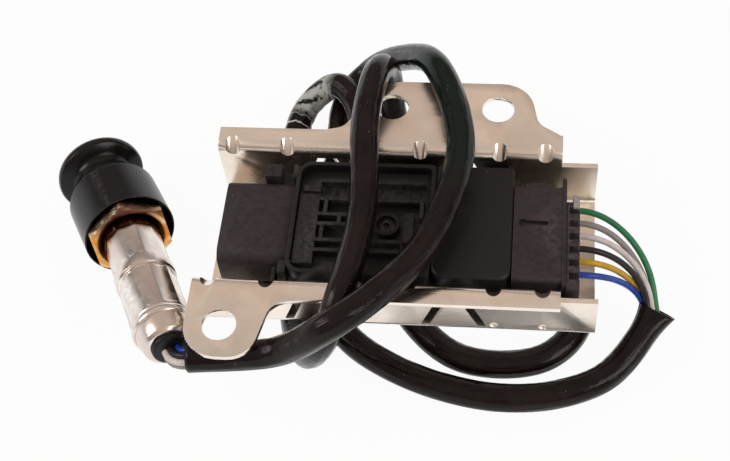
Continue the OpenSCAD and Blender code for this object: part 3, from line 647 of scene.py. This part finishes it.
def route_frame(place):
    """Point, direction, side and turn per millimetre at a length along the route."""
    k = min(max(1, bisect_left(route_at, place)), len(route) - 1)
    share = (place - route_at[k - 1]) / (route_at[k] - route_at[k - 1])
    direction = route_dirs[k - 1].lerp(route_dirs[k], share).normalized()
    side = route_sides[k - 1].lerp(route_sides[k], share)
    side = (side - direction * side.dot(direction)).normalized()
    turn = (route_dirs[k] - route_dirs[k - 1]) / (route_at[k] - route_at[k - 1])
    return route[k - 1].lerp(route[k], share), direction, side, turn


def sleeve_rows():
    """Rows of the sleeve's skin: length along and inset, with the inner wall first and last."""
    count = round(SLEEVE_L / ROW_PITCH)
    outer = [(SLEEVE_L * i / count, 0.0) for i in range(count + 1)]
    inner = [INNER_DEPTH * i / INNER_ROWS for i in range(INNER_ROWS + 1)]
    start = [(INNER_DEPTH - depth, SKIN) for depth in inner] + [(0.0, SKIN * 0.5)]
    end = [(SLEEVE_L, SKIN * 0.5)] + [(SLEEVE_L - depth, SKIN) for depth in inner]
    return start + outer + end


def make_sleeve():
    """Sleeve with open ends, swept along the route and flared at its mouth."""
    rows = sleeve_rows()
    frames = [route_frame(place) for place, inset in rows]
    wide = left_of(MOUTH_DIR)

    def place_point(row, angle):
        place, inset = rows[row]
        middle, direction, side, turn = frames[row]
        lift = direction.cross(side)
        ray = side * math.cos(angle) + lift * math.sin(angle)
        outward = 0 if turn.length < 1e-6 else -ray.dot(turn.normalized())
        radius = sleeve_radius(place, angle, turn.length, outward) - inset
        flare = max(0.0, 1 - (SLEEVE_L - place) / FLARE_L) ** 2
        across = ray.dot(wide)
        point = middle + ray * radius + wide * across * radius * FLARE_WIDER * flare
        point -= (ray - wide * across) * radius * FLARE_FLATTER * flare
        point.z = max(point.z, LEAST_HEIGHT)
        return point * MM

    mesh = swept_grid("sleeve", len(rows), SLEEVE_SIDES, place_point)
    mesh.materials.append(SLEEVE)
    return add_object("sleeve", mesh)


def make_round_lead(name, paths, material):
    """Bare ends of one lead, as round tubes with closed ends, in one mesh."""
    bm = bmesh.new()
    for path, first, last in paths:
        directions = headings(path, first, last)
        sides = carried_sides(directions)
        rows = [(0, TIP_SHARE)] + [(i, 1.0) for i in range(len(path))] + [(len(path) - 1, TIP_SHARE)]

        def place_point(row, angle):
            i, share = rows[row]
            lift = directions[i].cross(sides[i])
            ray = sides[i] * math.cos(angle) + lift * math.sin(angle)
            return (path[i] + ray * LEAD_D / 2 * share) * MM

        part = swept_grid(name + "_part", len(rows), LEAD_SIDES, place_point)
        bm.from_mesh(part)
        bpy.data.meshes.remove(part)
    bmesh.ops.holes_fill(bm, edges=[e for e in bm.edges if e.is_boundary], sides=0)
    bmesh.ops.recalc_face_normals(bm, faces=bm.faces)
    mesh = bpy.data.meshes.new(name)
    bm.to_mesh(mesh)
    bm.free()
    mesh.shade_smooth()
    mesh.materials.append(material)
    return add_object(name, mesh)


def lead_arc(a, a_dir, b, b_dir, reach_a, reach_b, count):
    """Curve from a to b that leaves along a_dir and comes in along b_dir."""
    p = a + reach_a * a_dir
    q = b - reach_b * b_dir
    return [(1 - s) ** 3 * a + 3 * s * (1 - s) ** 2 * p + 3 * s * s * (1 - s) * q + s ** 3 * b
            for s in (k / count for k in range(count + 1))]


def beside(arc, first, last, start, end):
    """Path of one lead beside the middle of its fan, off it by start and end, to the left and up."""
    out = []
    for k, (point, direction) in enumerate(zip(arc, headings(arc, first, last))):
        s = k / (len(arc) - 1)
        share = s * s * (3 - 2 * s)
        left = left_of(direction)
        across, lift = (x * (1 - share) + y * share for x, y in zip(start, end))
        out.append(point + across * left + lift * direction.cross(left))
    return out


def make_lead(k, name):
    """Both bare ends of lead k: the fan from the plug to the mouth, and the bundle at the probe."""
    along = Vector((1, 0, 0))
    cover_end = Vector(REAR_COVER_END) + Vector((BRACKET_LEFT, 0, 0))
    aside = left_of(MOUTH_DIR)
    mouth = route[-1] + MOUTH_SHIFT * aside
    entry = (-MOUTH_DIR - MOUTH_SLANT * aside).normalized()
    spread = ((MIDDLE_LEAD - k) * LEAD_PITCH, 0)
    fan = lead_arc(cover_end, along, mouth, entry, LEAD_REACH, MOUTH_REACH, FAN_STEPS)
    plug_end = beside(fan, along, entry, spread, (BUNDLE[k][0] * MOUTH_SQUEEZE, BUNDLE[k][1]))
    plug_end = [plug_end[0] - along * HIDDEN_END] + plug_end + [plug_end[-1] + entry * MOUTH_DEPTH]
    seal = NUT_FACE + GROMMET_FACE_T * PROBE_DIR
    bundle = lead_arc(seal, PROBE_DIR, route[0], INLET_DIR, PROBE_REACH, PROBE_REACH, BUNDLE_STEPS)
    probe_end = beside(bundle, PROBE_DIR, INLET_DIR, PROBE_BUNDLE[k], PROBE_BUNDLE[k])
    first, last = probe_end[0] - PROBE_DIR * HIDDEN_END, probe_end[-1] + INLET_DIR * INLET_DEPTH
    probe_end = [first] + probe_end + [last]
    colour = name.split("_")[1]
    material = lead_insulation(colour + " insulation", LEAD_COLOURS[name])
    ends = [(plug_end, along, entry), (probe_end, PROBE_DIR, INLET_DIR)]
    lead = make_round_lead(colour + "_lead", ends, material)
    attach(lead, "sensor")
    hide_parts(name)
    return lead


sleeve = make_sleeve()
leads = [make_lead(k, name) for k, name in enumerate(LEAD_NODES)]
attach(sleeve, "sensor")
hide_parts("harness_sleeve")


# Cap: it sits askew on the nut, and its axis crosses the probe's inside the hexagon
CAP_SKEW = math.radians(4.2)
CAP_PIVOT = 5.35
CAP_STEPS = 96
# Half section: radius and place along the axis, from the disc's middle round the outside and back in the bore
CAP_PROFILE = [
    (0, -37.9), (7, -37.7), (10.2, -37.1), (12.1, -36), (13, -34.8), (13.2, -33.6), (12.9, -32.6),
    (12, -31.9), (10.4, -31.4), (9.3, -30.8), (8.8, -29.8), (8.7, -28.5), (8.7, -20.7), (12.9, -20.7),
    (13.4, -20.2), (13.5, -2.7), (13.0, -2.7), (13.0, -9.23), (11.156, -9.23), (11.156, -20.25),
    (7.55, -20.25), (7.55, -30.3), (0, -30.3)]


def make_cap():
    """Moulded transport cap, turned from its profile: disc, neck, cup and stepped bore."""
    axis = Matrix.Rotation(CAP_SKEW, 3, "Z") @ PROBE_DIR
    bm = bmesh.new()
    corners = [bm.verts.new((radius, 0, height)) for radius, height in CAP_PROFILE]
    edges = [bm.edges.new(pair) for pair in zip(corners, corners[1:])]
    bmesh.ops.spin(bm, geom=corners + edges, cent=(0, 0, 0), axis=(0, 0, 1), angle=2 * math.pi,
                   steps=CAP_STEPS, use_merge=True)
    bmesh.ops.remove_doubles(bm, verts=bm.verts, dist=POLE_WELD)
    bmesh.ops.recalc_face_normals(bm, faces=bm.faces)
    turned = axis.to_track_quat("Z", "Y").to_matrix().to_4x4()
    pivot = NUT_FACE - CAP_PIVOT * PROBE_DIR
    place = Matrix.Translation(pivot) @ turned @ Matrix.Translation((0, 0, CAP_PIVOT))
    bmesh.ops.transform(bm, matrix=Matrix.Scale(MM, 4) @ place, verts=bm.verts)
    mesh = bpy.data.meshes.new("cap")
    bm.to_mesh(mesh)
    bm.free()
    mesh.shade_smooth()
    mesh.materials.append(CAP)
    made = add_object("cap", mesh)
    round_edges(made, width=0.35, segments=3, angle=30)
    return made


# Lock of the plug: a slanted hook over the far end of the rear cover, seen from above
LOCK_TOP = [(101.2, 5.7), (102.9, 5.7), (102.9, 7.9), (101.2, 10.4)]
LOCK_LEG = [(101.2, 8.5), (102.9, 8.5), (102.9, 12.6), (101.2, 13.9)]
LOCK_HEIGHTS = ((36.2, 37.0), (27.7, 36.4))
LOCK_BACK = 8.5
LOCK_TAPER = 0.35


def make_lock():
    """Hook of two slabs: its top, and the leg, whose outer side leans in towards the top."""
    bm = bmesh.new()
    for outline, (low, high) in zip((LOCK_TOP, LOCK_LEG), LOCK_HEIGHTS):
        face = bm.faces.new([bm.verts.new((x + BRACKET_LEFT, y, low)) for x, y in outline])
        grown = bmesh.ops.extrude_face_region(bm, geom=[face])["geom"]
        top = [v for v in grown if isinstance(v, bmesh.types.BMVert)]
        bmesh.ops.translate(bm, vec=(0, 0, high - low), verts=top)
        if outline is LOCK_LEG:
            for corner in top:
                corner.co.y = LOCK_BACK + (corner.co.y - LOCK_BACK) * LOCK_TAPER
    bmesh.ops.recalc_face_normals(bm, faces=bm.faces)
    bmesh.ops.scale(bm, vec=(MM, MM, MM), verts=bm.verts)
    mesh = bpy.data.meshes.new("lock")
    bm.to_mesh(mesh)
    bm.free()
    mesh.shade_smooth()
    mesh.materials.append(LOCK)
    made = add_object("lock", mesh)
    round_edges(made, width=0.15, segments=2, angle=28)
    return made


# Rigid pieces: CAD shapes with their edges finished
refined("mounting_bracket", STEEL, 0.22, 3)
refined("module_housing", LID, 0.25)
refined("module_lid", LID, 0.14)
refined("smooth_cover", COVER, 0.3, 3)
refined("connector_shroud", SHROUD, 0.25)
refined("plug_housing", SHROUD, 0.25)
refined("plug_collar", SHROUD, 0.15)
refined("plug_rear_cover", SHROUD, 0.15)
refined("plug_latch", SHROUD, 0.25)
lock = make_lock()
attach(lock, "sensor")
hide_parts("plug_lock")
refined("centre_screw", SCREW, 0.15)
refined("probe_body", PROBE, 0.2, 3, 20)
refined("crimp_ring", PROBE, 0.15)
refined("rear_grommet", GROMMET, 0.9, 4)
refined("sleeve_nut", NUT, 0.2, 3, 20, "nut")
cap = make_cap()
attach(cap, "nut")
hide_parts("protective_cap")

# Hidden pieces keep their CAD shapes
HIDDEN_PIECES = {
    "circuit_board": BOARD, "terminal_pins": PINS, "seal_ring": SEAL, "perforated_tube": PROBE,
    "inner_tube": PROBE, "sensing_element": CERAMIC}
for hidden, material in HIDDEN_PIECES.items():
    frame["nodes"][hidden].data.materials.clear()
    frame["nodes"][hidden].data.materials.append(material)


# Floor and light: half the floor's side in metres, how white it looks, the point that the lamps face, and
# the studio's tones by height
FLOOR_HALF = 3
FLOOR_WHITE = 0.95
LAMP_AIM = Vector((0, 0, 0.02))
STUDIO_TONES = [
    (0.0, (1, 1, 1, 1)), (0.3, (0.22, 0.195, 0.185, 1)), (0.75, (0.66, 0.54, 0.465, 1)),
    (1.0, (0.5, 0.46, 0.43, 1))]


def white_to_the_camera(tree, lit, output, share):
    """Plain white, by that share, for camera, glossy and transmitted rays, and the lit shader otherwise."""
    path = add_node(tree, "ShaderNodeLightPath").outputs
    glossy = arithmetic(tree, "MAXIMUM", path["Is Camera Ray"], path["Is Glossy Ray"])
    seen = arithmetic(tree, "MAXIMUM", glossy, path["Is Transmission Ray"])
    part = arithmetic(tree, "MULTIPLY", seen, share)
    white = add_node(tree, "ShaderNodeEmission", {"Color": (1, 1, 1, 1), "Strength": 1.0})
    mixed = add_node(tree, "ShaderNodeMixShader", {0: part, 1: lit, 2: white.outputs[0]})
    tree.links.new(mixed.outputs[0], output.inputs["Surface"])


def make_floor():
    """Wide pale floor under the part."""
    mesh = bpy.data.meshes.new("floor")
    bm = bmesh.new()
    bmesh.ops.create_grid(bm, x_segments=1, y_segments=1, size=FLOOR_HALF)
    bm.to_mesh(mesh)
    bm.free()
    material = bpy.data.materials.new("pale floor")
    material.use_nodes = True
    tree = material.node_tree
    shader = tree.nodes["Principled BSDF"]
    shader.inputs["Base Color"].default_value = (0.92, 0.92, 0.92, 1)
    shader.inputs["Roughness"].default_value = 0.9
    shader.inputs["Specular IOR Level"].default_value = 0.1
    white_to_the_camera(tree, shader.outputs[0], tree.nodes["Material Output"], FLOOR_WHITE)
    mesh.materials.append(material)
    floor = add_object("floor", mesh)


def make_world():
    """Studio that is white low down, dark above that and warm overhead, and plain white to the camera."""
    world = bpy.data.worlds.new("studio")
    bpy.context.scene.world = world
    world.use_nodes = True
    tree = world.node_tree
    tree.nodes.remove(tree.nodes["Background"])
    direction = add_node(tree, "ShaderNodeTexCoord").outputs["Generated"]
    height = add_node(tree, "ShaderNodeSeparateXYZ", {"Vector": direction}).outputs["Z"]
    ramp = add_node(tree, "ShaderNodeValToRGB", {"Fac": height})
    stops = ramp.color_ramp.elements
    while len(stops) < len(STUDIO_TONES):
        stops.new(0.5)
    for stop, (place, colour) in zip(stops, STUDIO_TONES):
        stop.position = place
        stop.color = colour
    light = add_node(tree, "ShaderNodeBackground", {"Color": ramp.outputs["Color"], "Strength": 1.0})
    path = add_node(tree, "ShaderNodeLightPath").outputs
    seen = arithmetic(tree, "MAXIMUM", path["Is Camera Ray"], path["Is Transmission Ray"])
    white = add_node(tree, "ShaderNodeBackground", {"Color": (1, 1, 1, 1), "Strength": 1.0})
    mixed = add_node(tree, "ShaderNodeMixShader", {0: seen, 1: light.outputs[0], 2: white.outputs[0]})
    tree.links.new(mixed.outputs[0], tree.nodes["World Output"].inputs["Surface"])


def soft_lamp(name, place, size, power):
    """Round soft lamp that faces the part's middle."""
    lamp = bpy.data.lights.new(name, "AREA")
    lamp.shape = "DISK"
    lamp.size = size
    lamp.energy = power
    obj = bpy.data.objects.new(name, lamp)
    aim = (LAMP_AIM - Vector(place)).to_track_quat("-Z", "Y").to_matrix().to_4x4()
    obj.matrix_world = Matrix.Translation(place) @ aim
    bpy.context.collection.objects.link(obj)


make_floor()
make_world()
soft_lamp("left softbox", (-1.0, -0.15, 0.85), 0.7, 5.0)
soft_lamp("right softbox", (1.0, -0.5, 0.8), 0.7, 4.0)
bpy.context.scene.view_settings.view_transform = "Standard"
